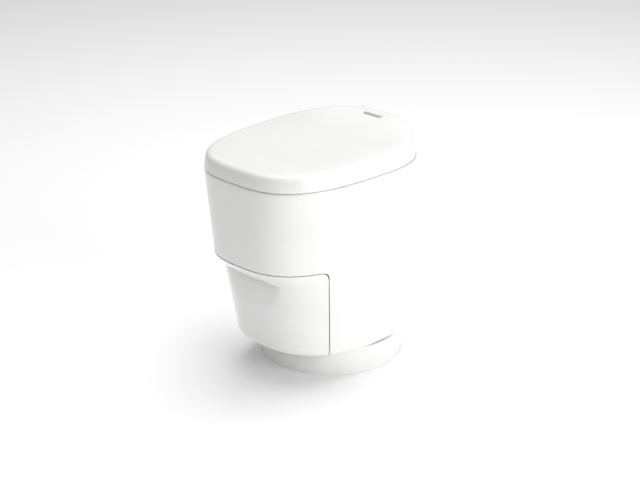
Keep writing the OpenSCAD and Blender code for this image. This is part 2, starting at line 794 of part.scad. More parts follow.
module drawer_front() {
    inner_levels = [for (z = body_levels) if (z > bottom_z + wall + 1) z];
    color("white")
    resize([0, 0, 0])
    difference() {
        intersection() {
            union() {
                difference() {
                    body_outer();
                    loft(concat(
                        [at_height(plan(bottom_size, wall + 3), bottom_z + wall)],
                        [for (z = inner_levels) shell_ring(z, wall)],
                        [at_height(plan(rim_size, wall), rim_z + cut)]));
                }
                intersection() {
                    body_outer();
                    union() {
                        grip_scoop(wall);
                        at_bosses(bottom_z) cylinder(r = boss_r, h = tray_z - bottom_z, $fn = 32);
                    }
                }
            }
            drawer_region(drawer_gap);
        }
        grip_scoop(0);
        at_bosses(tray_z - 14) cylinder(r = screw_r + 0.1, h = cut, $fn = 32);
    }
}

module drawer_tray() {
    color("gainsboro")
    difference() {
        union() {
            translate([0, 0, tray_z]) linear_extrude(tray_t) polygon(tank_plan(fit_gap + tray_lip));
            translate([0, 0, tray_z]) linear_extrude(14) difference() {
                polygon(tank_plan(fit_gap + tray_lip));
                polygon(tank_plan(fit_gap));
                translate([-hw, -tank_front - 50]) square([width, 100]);
            }
            intersection() {
                translate([0, 0, tray_z]) linear_extrude(tray_t) polygon(plan(foot_size, wall + 1));
                translate([-hw, -depth, 0]) cube([width, depth - door_y - 6, rim_z]);
            }
        }
        at_bosses(tray_z - 1) cylinder(r = screw_r + 0.4, h = tray_t + 2);
    }
}

module tray_screws() {
    color("silver")
    at_bosses(tray_z) union() {
        translate([0, 0, -13]) cylinder(r = screw_r, h = 13 + tray_t);
        translate([0, 0, tray_t]) cylinder(r = 4.2, h = 2.4);
    }
}

keeper_y = tank_back + fit_gap + tray_lip;
keeper_t = 2;
module drawer_keepers() {
    color("silver") translate([-14, keeper_y, tray_z + 1]) cube([28, keeper_t, 12]);
}
module drawer_magnets() {
    color("dimgray") translate([-14, keeper_y + keeper_t + fit_gap, rail_z]) cube([28, 11, 38]);
}

// ---- Cassette ----
tank_z = tray_z + tray_t;
shelf_y = tank_back - 58;          // where the lowered shelf starts
arch_y = tank_back - 50;           // front of the wheel arch
arch_z = tank_z + 2 * wheel_r + 6;
wheel_y = tank_back - 22;
wheel_z = tank_z + fit_gap + wheel_r;
axle_r = 5;
wheel_w = 18;
wheel_x = tank_hw - 62;             // inner side of each wheel
spout_x = tank_hw - 32;
spout_y = (shelf_y + tank_back) / 2;
spout_z = spout_shelf_z + spout_r + 1;
vent_x = 98;
vent_y = -64;
vent_r = 9;
vent_travel = 4;
opening_r = outlet_r + 2;
float_x = 60;
float_y = -40;
float_z = 215;
float_arm = 80;
float_r = 16;
float_rest = 60;                   // how far the empty tank's float hangs below level, in degrees

function tank_profile(t) = [
    [-tank_front + t, tank_z + t], [arch_y - t, tank_z + t],
    [arch_y - t, arch_z + t], [tank_back - t, arch_z + t],
    [tank_back - t, spout_shelf_z - t], [shelf_y - t, spout_shelf_z - t], [shelf_y - t, tank_top_z - t],
    [-tank_front + t, tank_top_z - t]];

module cassette_tank() {
    color("slategray")
    difference() {
        union() {
            intersection() {
                linear_extrude(rim_z) polygon(tank_plan(0));
                along_x(-hw, width) polygon(tank_profile(0));
            }
            both_sides() translate([wheel_x - 30, arch_y, wheel_z - 10])
                cube([8, wheel_y + 10 - arch_y, arch_z - wheel_z + 10]);
        }
        intersection() {
            linear_extrude(rim_z) polygon(tank_plan(-tank_wall));
            along_x(-hw, width) polygon(tank_profile(tank_wall));
        }
        translate([0, outlet_y, tank_top_z - 10]) cylinder(r = opening_r, h = 20);
        translate([spout_x, spout_y, spout_shelf_z - 10]) cylinder(r = 12, h = 20);
        translate([vent_x, vent_y, tank_top_z - 10]) cylinder(r = vent_r + fit_gap, h = 20);
        translate([-hw, wheel_y, wheel_z]) rotate([0, 90, 0]) cylinder(r = axle_r + pin_gap, h = width);
    }
}

housing_x0 = -tank_hw + 2;
housing_x1 = blade_hw + 8;
housing_y0 = blade_front - blade_travel - 3;
housing_y1 = blade_back + 6;
cover_z = blade_z + blade_t + fit_gap;
cover_screws = [[housing_x1 - 4, housing_y1 - 4], [housing_x1 - 4, housing_y0 + 50],
    [gear_x - 22, housing_y1 - 6], [-blade_hw - 12, housing_y0 + 6]];
cover_screw_r = 1.9;

module housing_plan() {
    intersection() {
        polygon(tank_plan(-2));
        translate([housing_x0, housing_y0]) square([housing_x1 - housing_x0, housing_y1 - housing_y0]);
    }
}

module blade_housing() {
    slot_x = gear_x + gear_r - tooth_add - 1;
    color("darkslategray")
    difference() {
        translate([0, 0, housing_z]) linear_extrude(cover_z - housing_z) housing_plan();
        translate([slot_x, blade_front - blade_travel - 1, blade_z])
            cube([blade_hw + fit_gap - slot_x, blade_back - blade_front + blade_travel + 2, 20]);
        difference() {
            at_gear() translate([0, 0, blade_z]) cylinder(r = gear_r + tooth_add + 1, h = 20);
            translate([-hw, -hw, 0]) cube([hw + gear_x - 0.84 * gear_r, width, rim_z]);
            at_gear() cylinder(r = axle_r, h = blade_z + fit_gap + 7.5);
        }
        translate([0, outlet_y, housing_z - 1]) cylinder(r = opening_r, h = 20);
        for (p = cover_screws) translate([p[0], p[1], blade_z - 2]) cylinder(r = cover_screw_r + 0.1, h = 20);
    }
}

module blade_cover() {
    color("darkslategray")
    difference() {
        translate([0, 0, cover_z]) linear_extrude(housing_z + housing_h - cover_z) housing_plan();
        translate([0, outlet_y, cover_z - 1]) cylinder(r = opening_r, h = 20);
        at_gear() translate([0, 0, cover_z - 1]) cylinder(r = 12 + fit_gap, h = 20);
        for (p = cover_screws)
            translate([p[0], p[1], cover_z - 1]) cylinder(r = cover_screw_r + fit_gap, h = 20);
    }
}

module flange_screws() {
    top = housing_z + housing_h;
    color("silver")
    for (p = cover_screws) translate([p[0], p[1], 0]) union() {
        translate([0, 0, blade_z - 1.5]) cylinder(r = cover_screw_r, h = top - blade_z + 1.5);
        translate([0, 0, top]) cylinder(r = 3.6, h = 1.8);
    }
}

module lip_seal() {
    color("black")
    translate([0, outlet_y, housing_z + housing_h])
    difference() {
        cylinder(r = opening_r + 5, h = seal_top_z - housing_z - housing_h);
        translate([0, 0, -1]) cylinder(r = outlet_r + 1, h = 20);
    }
}

spout_tube_r = spout_r - 3;
module spout_elbow() {
    low = spout_shelf_z + 2 + fit_gap;
    color("steelblue")
    difference() {
        union() {
            translate([spout_x, spout_y, low]) cylinder(r = spout_r + 3, h = 3);
            translate([spout_x, spout_y, low]) cylinder(r = spout_r, h = spout_z + spout_tube_r + 1 - low);
            translate([spout_x, spout_y, spout_z])
                rotate([0, -90, 0]) cylinder(r = spout_tube_r, h = spout_l);
        }
        translate([spout_x, spout_y, low - 1]) cylinder(r = 11, h = spout_z + 1 - low);
        translate([spout_x + 5, spout_y, spout_z]) rotate([0, -90, 0]) cylinder(r = 11, h = spout_l + 6);
    }
}

module spout_seal() {
    color("black")
    translate([spout_x, spout_y, spout_shelf_z])
    difference() {
        cylinder(r = spout_r + 3, h = 2);
        translate([0, 0, -1]) cylinder(r = 12.5, h = 4);
    }
}

module spout_cap() {
    end_x = spout_x - spout_l - fit_gap;
    color("darkorange")
    translate([end_x - 5, spout_y, spout_z]) rotate([0, 90, 0])
    difference() {
        cylinder(r = spout_r - 0.6, h = 19);
        translate([0, 0, 5]) cylinder(r = spout_tube_r + 0.1, h = 20);
    }
}

module vent_button() {
    color("darkorange")
    translate([vent_x, vent_y, 0]) union() {
        translate([0, 0, tank_top_z - 6]) cylinder(r = vent_r, h = 12);
        translate([0, 0, tank_top_z + vent_travel + 1]) cylinder(r = vent_r + 4, h = 4);
    }
}

module wheel_axle() {
    color("silver")
    translate([-wheel_x - wheel_w - 3, wheel_y, wheel_z])
        rotate([0, 90, 0]) cylinder(r = axle_r, h = 2 * (wheel_x + wheel_w + 3));
}

module tank_wheel() {
    color("dimgray")
    translate([wheel_x, wheel_y, wheel_z]) rotate([0, 90, 0])
    difference() {
        cylinder(r = wheel_r, h = wheel_w);
        translate([0, 0, -1]) cylinder(r = axle_r + pin_gap, h = wheel_w + 2);
        translate([0, 0, wheel_w - 4]) difference() {
            cylinder(r = wheel_r - 4, h = 10);
            cylinder(r = axle_r + 3, h = 10);
        }
    }
}
module left_wheel() { tank_wheel(); }
module right_wheel() { mirror([1, 0, 0]) tank_wheel(); }

float_pin_r = 2;
module float_pivot() {
    color("lightgray")
    union() {
        translate([float_x - 14, float_y, float_z]) rotate([0, 90, 0]) cylinder(r = float_pin_r, h = 28);
        for (x = [float_x - 14, float_x + 11])
            translate([x, float_y - 4, float_z - 4]) cube([3, 8, tank_top_z - tank_wall - float_z + 4]);
    }
}

module level_float() {
    color("lemonchiffon")
    translate([float_x, float_y, float_z]) rotate([-float_rest, 0, 0])
    difference() {
        union() {
            translate([-8, 0, 0]) rotate([0, 90, 0]) cylinder(r = 6, h = 16);
            translate([-3, 3, -3]) cube([6, float_arm - 10, 6]);
            translate([0, float_arm, 0]) sphere(r = float_r);
        }
        translate([-9, 0, 0]) rotate([0, 90, 0]) cylinder(r = float_pin_r + pin_gap, h = 18);
    }
}

module tank_handle() {
    low = 214;
    y = -tank_front;
    color("darkslategray")
    union() {
        for (s = [-1, 1]) translate([s * 48 - 5, y - 18, low]) cube([10, 18, 18]);
        translate([-53, y - 22, low]) cube([106, 8, 18]);
    }
}

pedestal();
swivel_ring();
swivel_retainer();
base_plate();
body_shell();
bay_roof();
bowl();
bowl_nozzle();
flush_pipe();
flush_valve();
water_inlet();
valve_actuator();
valve_dog();
control_panel();
flush_button();
valve_button();
level_lamps();
fixed_rails();
middle_rails();
drawer_rails();
hinge_base();
hinge_pin();
seat_ring();
seat_brackets();
seat_buffers();
lid_shell();
lid_brackets();
lid_buffers();
lid_badge();
drawer_front();
drawer_tray();
drawer_magnets();
drawer_keepers();
tray_screws();
cassette_tank();
blade_housing();
blade_cover();
valve_blade();
opener_gear();
lip_seal();
spout_elbow();
spout_seal();
spout_cap();
vent_button();
wheel_axle();
left_wheel();
right_wheel();
level_float();
float_pivot();
tank_handle();
flange_screws();
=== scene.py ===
import json
import math

import bmesh
import bpy
import numpy as np
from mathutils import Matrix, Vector


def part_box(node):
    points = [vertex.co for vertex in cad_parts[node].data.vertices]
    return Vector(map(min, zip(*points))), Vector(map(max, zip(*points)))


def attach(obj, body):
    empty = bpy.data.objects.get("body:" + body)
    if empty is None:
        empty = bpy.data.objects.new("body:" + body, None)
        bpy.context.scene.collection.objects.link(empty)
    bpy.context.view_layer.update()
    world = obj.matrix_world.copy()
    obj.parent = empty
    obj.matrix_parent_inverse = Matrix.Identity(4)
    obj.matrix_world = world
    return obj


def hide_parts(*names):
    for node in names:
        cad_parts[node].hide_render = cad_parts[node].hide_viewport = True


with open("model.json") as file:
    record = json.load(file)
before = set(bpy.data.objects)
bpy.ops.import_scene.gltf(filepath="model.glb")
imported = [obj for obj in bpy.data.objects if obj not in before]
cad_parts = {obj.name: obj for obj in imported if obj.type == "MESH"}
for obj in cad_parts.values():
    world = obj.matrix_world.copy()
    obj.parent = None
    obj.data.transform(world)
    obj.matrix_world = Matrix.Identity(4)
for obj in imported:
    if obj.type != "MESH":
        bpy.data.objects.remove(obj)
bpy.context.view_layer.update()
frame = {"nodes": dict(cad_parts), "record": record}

MM = 0.001

# ---- Sizes, from the frame and from the same driving dimensions as the part ----
shell_low, shell_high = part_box("body_shell")
door_low, door_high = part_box("drawer_front")
lid_low, lid_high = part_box("lid_shell")
seat_low, seat_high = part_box("seat_ring")
bowl_low, bowl_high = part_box("bowl")
pedestal_low, pedestal_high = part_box("pedestal")
pin_low, pin_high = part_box("hinge_pin")
tank_low, tank_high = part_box("cassette_tank")

HALF_W = shell_high.x
FRONT_Y = shell_low.y
BACK_Y = shell_high.y
DEPTH = BACK_Y - FRONT_Y
RIM_Z = shell_high.z
BOTTOM_Z = shell_low.z
WIDEST_Y = 37 * MM                 # where the plan is widest
WALL = 4 * MM
DOOR_GAP = 2 * MM
PARTING_Z = door_high.z + DOOR_GAP
CHIN_Z = 258 * MM                  # lower edge of the grip band
FOOT_Z = 100 * MM
DOOR_Y = -104 * MM                 # back end of the door at the parting line
DOOR_CORNER = 26 * MM              # radius of the door's top corners
DOOR_LEAN = 22 * MM                # how far the door's side edge leans back over its height
LIP_W = 9 * MM                     # turned-in lip at the shell's bottom
HINGE_Y = (pin_low.y + pin_high.y) / 2
HINGE_Z = (pin_low.z + pin_high.z) / 2

SIDE_TAPER = 9 * MM                # a side's slope from the rim in to the parting line
# Plan of the shell at each height: half-width, front reach, back reach, front and back exponents
RIM = np.array([HALF_W, WIDEST_Y - FRONT_Y, BACK_Y - WIDEST_Y, 3.08, 2.7])
PARTING = RIM - np.array([SIDE_TAPER, 13 * MM, 8 * MM, 0.3, -0.2])
CHIN = PARTING - np.array([0.2 * MM, 32 * MM, 0.2 * MM, 0.02, -0.02])
FOOT = np.array([PARTING[0] - 11 * MM, CHIN[1] - 26 * MM, RIM[2] - 16 * MM, 2.4, 3.2])
BOTTOM = FOOT - np.array([6 * MM, 26 * MM, 4 * MM, 0, 0])

# Finger recess under the grip band
GRIP_HW = 87 * MM                  # half its width
GRIP_DROP = 76 * MM                # its height in the middle
GRIP_DEPTH = 24 * MM               # its depth in the middle, just under the lip
GRIP_ARCH = 11 * MM                # how far the lip is arched up into the band
BAND_EDGE = 4 * MM                 # upright edge at the top of the band
BAND_SLOPE = (PARTING[1] - CHIN[1]) / (PARTING_Z - CHIN_Z)


# ---- Small mesh tools ----
def spow(v, e):
    """A power that keeps the sign."""
    return np.sign(v) * np.abs(v) ** e


def smooth_step(t):
    u = np.clip(t, 0, 1)
    return u * u * (3 - 2 * u)


def ease(x, xs, ys):
    """Smooth curve through the points (xs, ys) that never overshoots them."""
    xs, ys, x = np.asarray(xs, float), np.asarray(ys, float), np.asarray(x, float)
    step = np.diff(xs)
    slope = np.diff(ys) / step
    product, total = slope[1:] * slope[:-1], slope[1:] + slope[:-1]
    inner = np.where(product > 0, 2 * product / (total + 1e-30), 0)
    grad = np.concatenate([[slope[0]], inner, [slope[-1]]])
    k = np.clip(np.searchsorted(xs, x) - 1, 0, len(xs) - 2)
    t = np.clip((x - xs[k]) / step[k], 0, 1)
    return (ys[k] * (1 + 2 * t) * (1 - t) ** 2 + ys[k + 1] * t * t * (3 - 2 * t)
            + step[k] * (grad[k] * t * (1 - t) ** 2 - grad[k + 1] * t * t * (1 - t)))


def full_turn(count):
    """Evenly spaced angles round a circle."""
    return np.radians(np.linspace(0, 360, count, endpoint=False))


def resample(points, count):
    """count points at even arc lengths along a polyline."""
    gaps = np.linalg.norm(np.diff(points, axis=0), axis=1)
    along = np.concatenate([[0], np.cumsum(gaps)])
    want = np.linspace(0, 1, count) * along[-1]
    return np.stack([np.interp(want, along, points[:, k]) for k in range(points.shape[1])], 1)


def new_object(name, verts, faces):
    """Smooth-shaded mesh object with doubled points merged and its normals made consistent."""
    mesh = bpy.data.meshes.new(name)
    mesh.from_pydata([tuple(v) for v in verts], [], faces)
    work = bmesh.new()
    work.from_mesh(mesh)
    bmesh.ops.remove_doubles(work, verts=work.verts, dist=0.01 * MM)
    bmesh.ops.dissolve_degenerate(work, edges=work.edges, dist=0.005 * MM)
    bmesh.ops.recalc_face_normals(work, faces=work.faces)
    work.to_mesh(mesh)
    work.free()
    mesh.shade_smooth()
    obj = bpy.data.objects.new(name, mesh)
    bpy.context.scene.collection.objects.link(obj)
    return obj


def grids(name, parts):
    """One mesh from several grids. A part is (rows, closed); each row is an array of points."""
    verts, faces = [], []
    for rows, closed in parts:
        start, wide = len(verts), len(rows[0])
        for row in rows:
            verts.extend(row)
        for r in range(len(rows) - 1):
            for c in range(wide if closed else wide - 1):
                d = (c + 1) % wide
                a, b = start + r * wide, start + (r + 1) * wide
                faces.append((a + c, a + d, b + d, b + c))
    return new_object(name, verts, faces)


def prism(name, first, second):
    """Closed mesh between two outlines that have the same number of points."""
    n = len(first)
    faces = [tuple(range(n)), tuple(range(n, 2 * n))]
    faces += [(i, (i + 1) % n, n + (i + 1) % n, n + i) for i in range(n)]
    return new_object(name, [*first, *second], faces)


def lathe(name, profile, centre, count, axis="Z"):
    """Turns a closed outline of (radius, distance along the axis) about the Z or the X axis."""
    turn = full_turn(count)
    rows = []
    for radius, along in profile:
        u, v, w = radius * np.cos(turn), radius * np.sin(turn), np.full(count, along)
        rows.append(np.stack([u, v, w] if axis == "Z" else [w, u, v], 1) + np.array(centre))
    return grids(name, [(rows + rows[:1], True)])


def face_outwards(obj, centre):
    """Turns an open sheet's normals away from a point."""
    work = bmesh.new()
    work.from_mesh(obj.data)
    work.normal_update()
    total = sum((f.calc_center_median() - centre).normalized().dot(f.normal) * f.calc_area()
                for f in work.faces)
    if total < 0:
        bmesh.ops.reverse_faces(work, faces=work.faces)
    work.to_mesh(obj.data)
    work.free()
    obj.data.shade_smooth()


def solidify(obj, thickness):
    """Gives a sheet its thickness, inwards."""
    m = obj.modifiers.new("thickness", "SOLIDIFY")
    m.thickness = thickness
    m.offset = -1
    m.use_even_offset = True
    m.use_quality_normals = True


def round_edges(obj, width, segments=3, angle=38):
    m = obj.modifiers.new("rounding", "BEVEL")
    m.width = width
    m.segments = segments
    m.limit_method = "ANGLE"
    m.angle_limit = math.radians(angle)
    m.use_clamp_overlap = True
    m.miter_outer = "MITER_ARC"


def even_normals(obj):
    """Keeps flat faces flat in the shading, so only the rounded edges bend the light."""
    m = obj.modifiers.new("normals", "WEIGHTED_NORMAL")
    m.keep_sharp = False
    m.weight = 80


def apply_all(obj):
    """Replaces the object's mesh with the result of its modifiers."""
    graph = bpy.context.evaluated_depsgraph_get()
    done = bpy.data.meshes.new_from_object(obj.evaluated_get(graph), depsgraph=graph)
    obj.modifiers.clear()
    obj.data = done


def place(obj, body, slot_name, *nodes):
    """Gives a piece its material, its body and its slot, and the CAD nodes that it replaces."""
    obj.data.materials.clear()
    obj.data.materials.append(MATERIALS[slot_name])
    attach(obj, body)
    if nodes:
        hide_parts(*nodes)


# ---- Materials ----
DUST_TOP = 45 * MM
DUST_SHADE = 0.95


def node_tree(name):
    material = bpy.data.materials.new(name)
    material.use_nodes = True
    tree = material.node_tree
    shader = tree.nodes["Principled BSDF"]
    coords = tree.nodes.new("ShaderNodeTexCoord")
    return material, tree, shader, coords.outputs["Object"]


def noise(tree, vector, scale, detail, rough=0.5):
    node = tree.nodes.new("ShaderNodeTexNoise")
    node.inputs["Scale"].default_value = scale
    node.inputs["Detail"].default_value = detail
    node.inputs["Roughness"].default_value = rough
    tree.links.new(vector, node.inputs["Vector"])
    return node.outputs["Fac"]


def spread(tree, value, low, high, from_low=0.3, from_high=0.7):
    node = tree.nodes.new("ShaderNodeMapRange")
    node.inputs["From Min"].default_value = from_low
    node.inputs["From Max"].default_value = from_high
    node.inputs["To Min"].default_value = low
    node.inputs["To Max"].default_value = high
    tree.links.new(value, node.inputs["Value"])
    return node.outputs["Result"]


def blend_colours(tree, share, first, second):
    node = tree.nodes.new("ShaderNodeMix")
    node.data_type = "RGBA"
    tree.links.new(share, node.inputs["Factor"])
    # A colour Mix node's sockets can't be told apart by name: 6 and 7 go in, 2 comes out
    for socket, colour in ((6, first), (7, second)):
        if isinstance(colour, tuple):
            node.inputs[socket].default_value = (*colour, 1)
        else:
            tree.links.new(colour, node.inputs[socket])
    return node.outputs[2]


def bump(tree, shader, height, strength, distance):
    node = tree.nodes.new("ShaderNodeBump")
    node.inputs["Strength"].default_value = strength
    node.inputs["Distance"].default_value = distance
    tree.links.new(height, node.inputs["Height"])
    tree.links.new(node.outputs["Normal"], shader.inputs["Normal"])


def height_share(tree, coords, low, high):
    """0 at one height and 1 at another, and even in between."""
    split = tree.nodes.new("ShaderNodeSeparateXYZ")
    tree.links.new(coords, split.inputs["Vector"])
    return spread(tree, split.outputs["Z"], 0, 1, low, high)


def plastic(name, colour, tint, rough, grain, grain_depth, coat=0.0, dusty=False):
    """Moulded plastic: a broad change of tone, uneven gloss and a fine surface grain."""
    material, tree, shader, coords = node_tree(name)
    tone = spread(tree, noise(tree, coords, 7, 4), 0, 1)
    base = blend_colours(tree, tone, colour, tint)
    if dusty:
        # A little grime near the floor, broken up by noise
        near_floor = height_share(tree, coords, DUST_TOP, 0.0)
        speck = spread(tree, noise(tree, coords, 60, 6, 0.7), 0, 1, 0.45, 0.75)
        both = tree.nodes.new("ShaderNodeMath")
        both.operation = "MULTIPLY"
        tree.links.new(near_floor, both.inputs[0])
        tree.links.new(speck, both.inputs[1])
        base = blend_colours(tree, both.outputs[0], base, tuple(c * DUST_SHADE for c in colour))
    tree.links.new(base, shader.inputs["Base Color"])
    gloss = spread(tree, noise(tree, coords, 35, 5, 0.6), rough[0], rough[1])
    tree.links.new(gloss, shader.inputs["Roughness"])
    shader.inputs["Coat Weight"].default_value = coat
    shader.inputs["Coat Roughness"].default_value = 0.12
    shader.inputs["IOR"].default_value = 1.5
    bump(tree, shader, noise(tree, coords, grain, 2), grain_depth, 0.2 * MM)
    return material


def metal(name, colour, rough, streak_scale=(1, 1, 1)):
    """Drawn or plated metal. Its fine streaks run along the axis with the least scale."""
    material, tree, shader, coords = node_tree(name)
    stretch = tree.nodes.new("ShaderNodeMapping")
    stretch.inputs["Scale"].default_value = streak_scale
    tree.links.new(coords, stretch.inputs["Vector"])
    streak = noise(tree, stretch.outputs["Vector"], 500, 3, 0.6)
    cloud = noise(tree, coords, 25, 4)
    base = blend_colours(tree, spread(tree, cloud, 0, 1), colour, tuple(c * 0.88 for c in colour))
    tree.links.new(base, shader.inputs["Base Color"])
    tree.links.new(spread(tree, streak, rough[0], rough[1]), shader.inputs["Roughness"])
    shader.inputs["Metallic"].default_value = 1.0
    bump(tree, shader, streak, 0.06, 0.05 * MM)
    return material


def rubber(name, colour):
    material, tree, shader, coords = node_tree(name)
    base = blend_colours(tree, spread(tree, noise(tree, coords, 90, 5, 0.7), 0, 1), colour,
                         tuple(min(1, c * 1.6 + 0.01) for c in colour))
    tree.links.new(base, shader.inputs["Base Color"])
    tree.links.new(spread(tree, noise(tree, coords, 300, 3), 0.55, 0.8), shader.inputs["Roughness"])
    bump(tree, shader, noise(tree, coords, 1600, 2), 0.15, 0.1 * MM)
    return material


# Colour, second colour, roughness from and to, grain per metre, grain strength, clear coat, dusty
PLASTICS = {
    "gloss_white": ((0.86, 0.86, 0.85), (0.90, 0.90, 0.895), (0.16, 0.24), 420, 0.012, 0.35, True),
    "bowl_white": ((0.88, 0.88, 0.875), (0.92, 0.92, 0.92), (0.05, 0.10), 260, 0.008, 0.8),
    "grey_plastic": ((0.13, 0.14, 0.15), (0.17, 0.18, 0.19), (0.35, 0.55), 2200, 0.12),
    "dark_plastic": ((0.016, 0.017, 0.019), (0.028, 0.029, 0.031), (0.38, 0.55), 2600, 0.16),
    "pale_plastic": ((0.50, 0.51, 0.51), (0.57, 0.57, 0.565), (0.35, 0.5), 1800, 0.08),
    "tank_plastic": ((0.055, 0.075, 0.10), (0.075, 0.098, 0.125), (0.38, 0.58), 1500, 0.22),
    "orange_plastic": ((0.66, 0.12, 0.012), (0.74, 0.16, 0.02), (0.28, 0.42), 2200, 0.08),
    "button_silver": ((0.50, 0.51, 0.53), (0.56, 0.57, 0.58), (0.22, 0.3), 2600, 0.05, 0.2),
    "float_cream": ((0.72, 0.66, 0.40), (0.80, 0.74, 0.50), (0.5, 0.7), 1200, 0.4),
    "magnet_black": ((0.012, 0.012, 0.014), (0.03, 0.03, 0.032), (0.3, 0.45), 1500, 0.1),
    "lamp_green": ((0.02, 0.34, 0.06), (0.05, 0.45, 0.10), (0.08, 0.14), 500, 0.01, 0.6),
}
# Colour, roughness from and to, scale of the streaks
METALS = {
    "steel": ((0.62, 0.63, 0.64), (0.24, 0.38), (0.2, 0.02, 1)),
    "chrome_badge": ((0.78, 0.79, 0.80), (0.30, 0.38)),
}
RUBBERS = {"black_rubber": (0.012, 0.012, 0.013), "grey_rubber": (0.20, 0.20, 0.205)}

MATERIALS = {name: plastic(name, *values) for name, values in PLASTICS.items()}
MATERIALS |= {name: metal(name, *values) for name, values in METALS.items()}
MATERIALS |= {name: rubber(name, colour) for name, colour in RUBBERS.items()}


# ---- Shape of the shell ----
FOLD_ROUND = 1.6 * MM


def size_at(z):
    """Plan sizes at an array of heights, as rows of five, with a quarter ellipse below the foot."""
    z = np.asarray(z, float)
    knots = [FOOT_Z, CHIN_Z, PARTING_Z, RIM_Z]
    table = np.stack([FOOT, CHIN, PARTING, RIM])
    straight = np.stack([np.interp(z, knots, table[:, k]) for k in range(5)], -1)
    t = np.clip((FOOT_Z - z) / (FOOT_Z - BOTTOM_Z), 0, 1)
    share = 1 - np.sqrt(np.clip(1 - t * t, 0, 1))
    return straight + (BOTTOM - FOOT) * share[..., None]


def soft_size_at(z):
    """The same, with the fold lines between the straight stretches rounded off."""
    reach = FOLD_ROUND
    above_foot = np.asarray(z, float) > FOOT_Z + 2 * reach
    mean = sum(size_at(np.minimum(z + k * reach, RIM_Z)) for k in (-1, -0.5, 0, 0.5, 1)) / 5
    near_top = np.asarray(z, float) > RIM_Z - 2 * reach
    return np.where((above_foot & ~near_top)[..., None], mean, size_at(z))


def plan(size, a, inset=0.0):
    """Points of a plan at an array of angles from its widest line: x and y."""
    c, s = np.cos(a), np.sin(a)
    size = np.broadcast_to(size, (*np.shape(a), 5))
    n = np.where(s < 0, size[..., 3], size[..., 4])
    reach = np.where(s < 0, size[..., 1], size[..., 2]) - inset
    return (size[..., 0] - inset) * spow(c, 2 / n), WIDEST_Y + reach * spow(s, 2 / n)


# The band's lower edge climbs to the parting line between these two
CREASE_FROM = FRONT_Y + 31 * MM
CREASE_TO = -20 * MM
CREASE_END = 4 * MM                # what is left of the band behind the crease


def crease_lift(y):
    """How far the grip band's lower edge has climbed, front to back."""
    share = smooth_step((y - CREASE_FROM) / (CREASE_TO - CREASE_FROM))
    return (PARTING_Z - CHIN_Z - CREASE_END) * share


def lift_share(z):
    """How much of the climb a nominal height takes part in: all of it at the band's lower edge."""
    return np.interp(z, [FOOT_Z, CHIN_Z, PARTING_Z], [0, 1, 0])


# From the middle of the front to the middle of the back
HALF_TURN = np.radians(np.linspace(-90, 90, 1601))


def shell_line(z, inset=0.0):
    """Points of the right half of the shell at a nominal height, front to back."""
    z = np.broadcast_to(np.asarray(z, float), HALF_TURN.shape)
    in_band = (z > CHIN_Z) & (z < PARTING_Z)
    height = PARTING_Z - CHIN_Z
    plan_z = np.minimum(CHIN_Z + (z - CHIN_Z) * height / (height - BAND_EDGE), PARTING_Z)
    x, y = plan(soft_size_at(np.where(in_band, plan_z, z)), HALF_TURN, inset)
    return np.stack([np.maximum(x, 0), y, z + crease_lift(y) * lift_share(z)], 1)


LEAN = math.atan(DOOR_LEAN / (PARTING_Z - BOTTOM_Z))


def door_edge(z, gap):
    """Where the drawer's face ends, front to back, at an array of heights."""
    cy, cz = DOOR_Y - gap - DOOR_CORNER, PARTING_Z - gap - DOOR_CORNER
    start_y, start_z = cy + DOOR_CORNER * math.cos(LEAN), cz - DOOR_CORNER * math.sin(LEAN)
    on_arc = cy + np.sqrt(np.clip(DOOR_CORNER ** 2 - (z - cz) ** 2, 0, None))
    return np.where(z < start_z, start_y + (start_z - z) * math.tan(LEAN), on_arc)


def cut_line(line, past):
    """A line's stretches before and after the place where past, a value for each point, turns
    positive."""
    k = int(np.argmax(past > 0))
    t = past[k - 1] / (past[k - 1] - past[k])
    edge = line[k - 1] * (1 - t) + line[k] * t
    return np.vstack([line[:k], edge]), np.vstack([edge, line[k:]])


def split_line(line, gap):
    """The front and back stretches of a shell line, split at the drawer's edge."""
    return cut_line(line, line[:, 1] - door_edge(line[:, 2], gap))


def flip(points):
    """The same points on the other side."""
    return points * np.array([-1, 1, 1])


def both_ways(half):
    """Row from a half that starts on the middle plane."""
    return np.vstack([flip(half[1:])[::-1], half])


def body_rows():
    """Nominal heights up the lower part of the shell, close together where it bends."""
    fillet = [FOOT_Z - (FOOT_Z - BOTTOM_Z) * math.sin(math.radians(a)) for a in range(90, 0, -10)]
    wall = list(np.linspace(FOOT_Z, CHIN_Z - 56 * MM, 16))
    recess = list(np.linspace(CHIN_Z - 54 * MM, CHIN_Z - 4 * MM, 22))
    crease = [CHIN_Z + k * MM for k in (-3, -2, -1, 0, 1, 2, 3)]
    band_h = PARTING_Z - CHIN_Z
    band = [PARTING_Z - band_h * (1 - math.cos(math.radians(a))) for a in range(66, -1, -6)]
    return fillet + wall + recess + crease + band


# ---- Body shell ----
EDGE_ROUND = 0.9 * MM              # rounding of the mouldings' edges
RIM_ROUND, RIM_INSET = 14 * MM, 2.2 * MM
BODY_BACK_N, BODY_FRONT_N = 86, 46


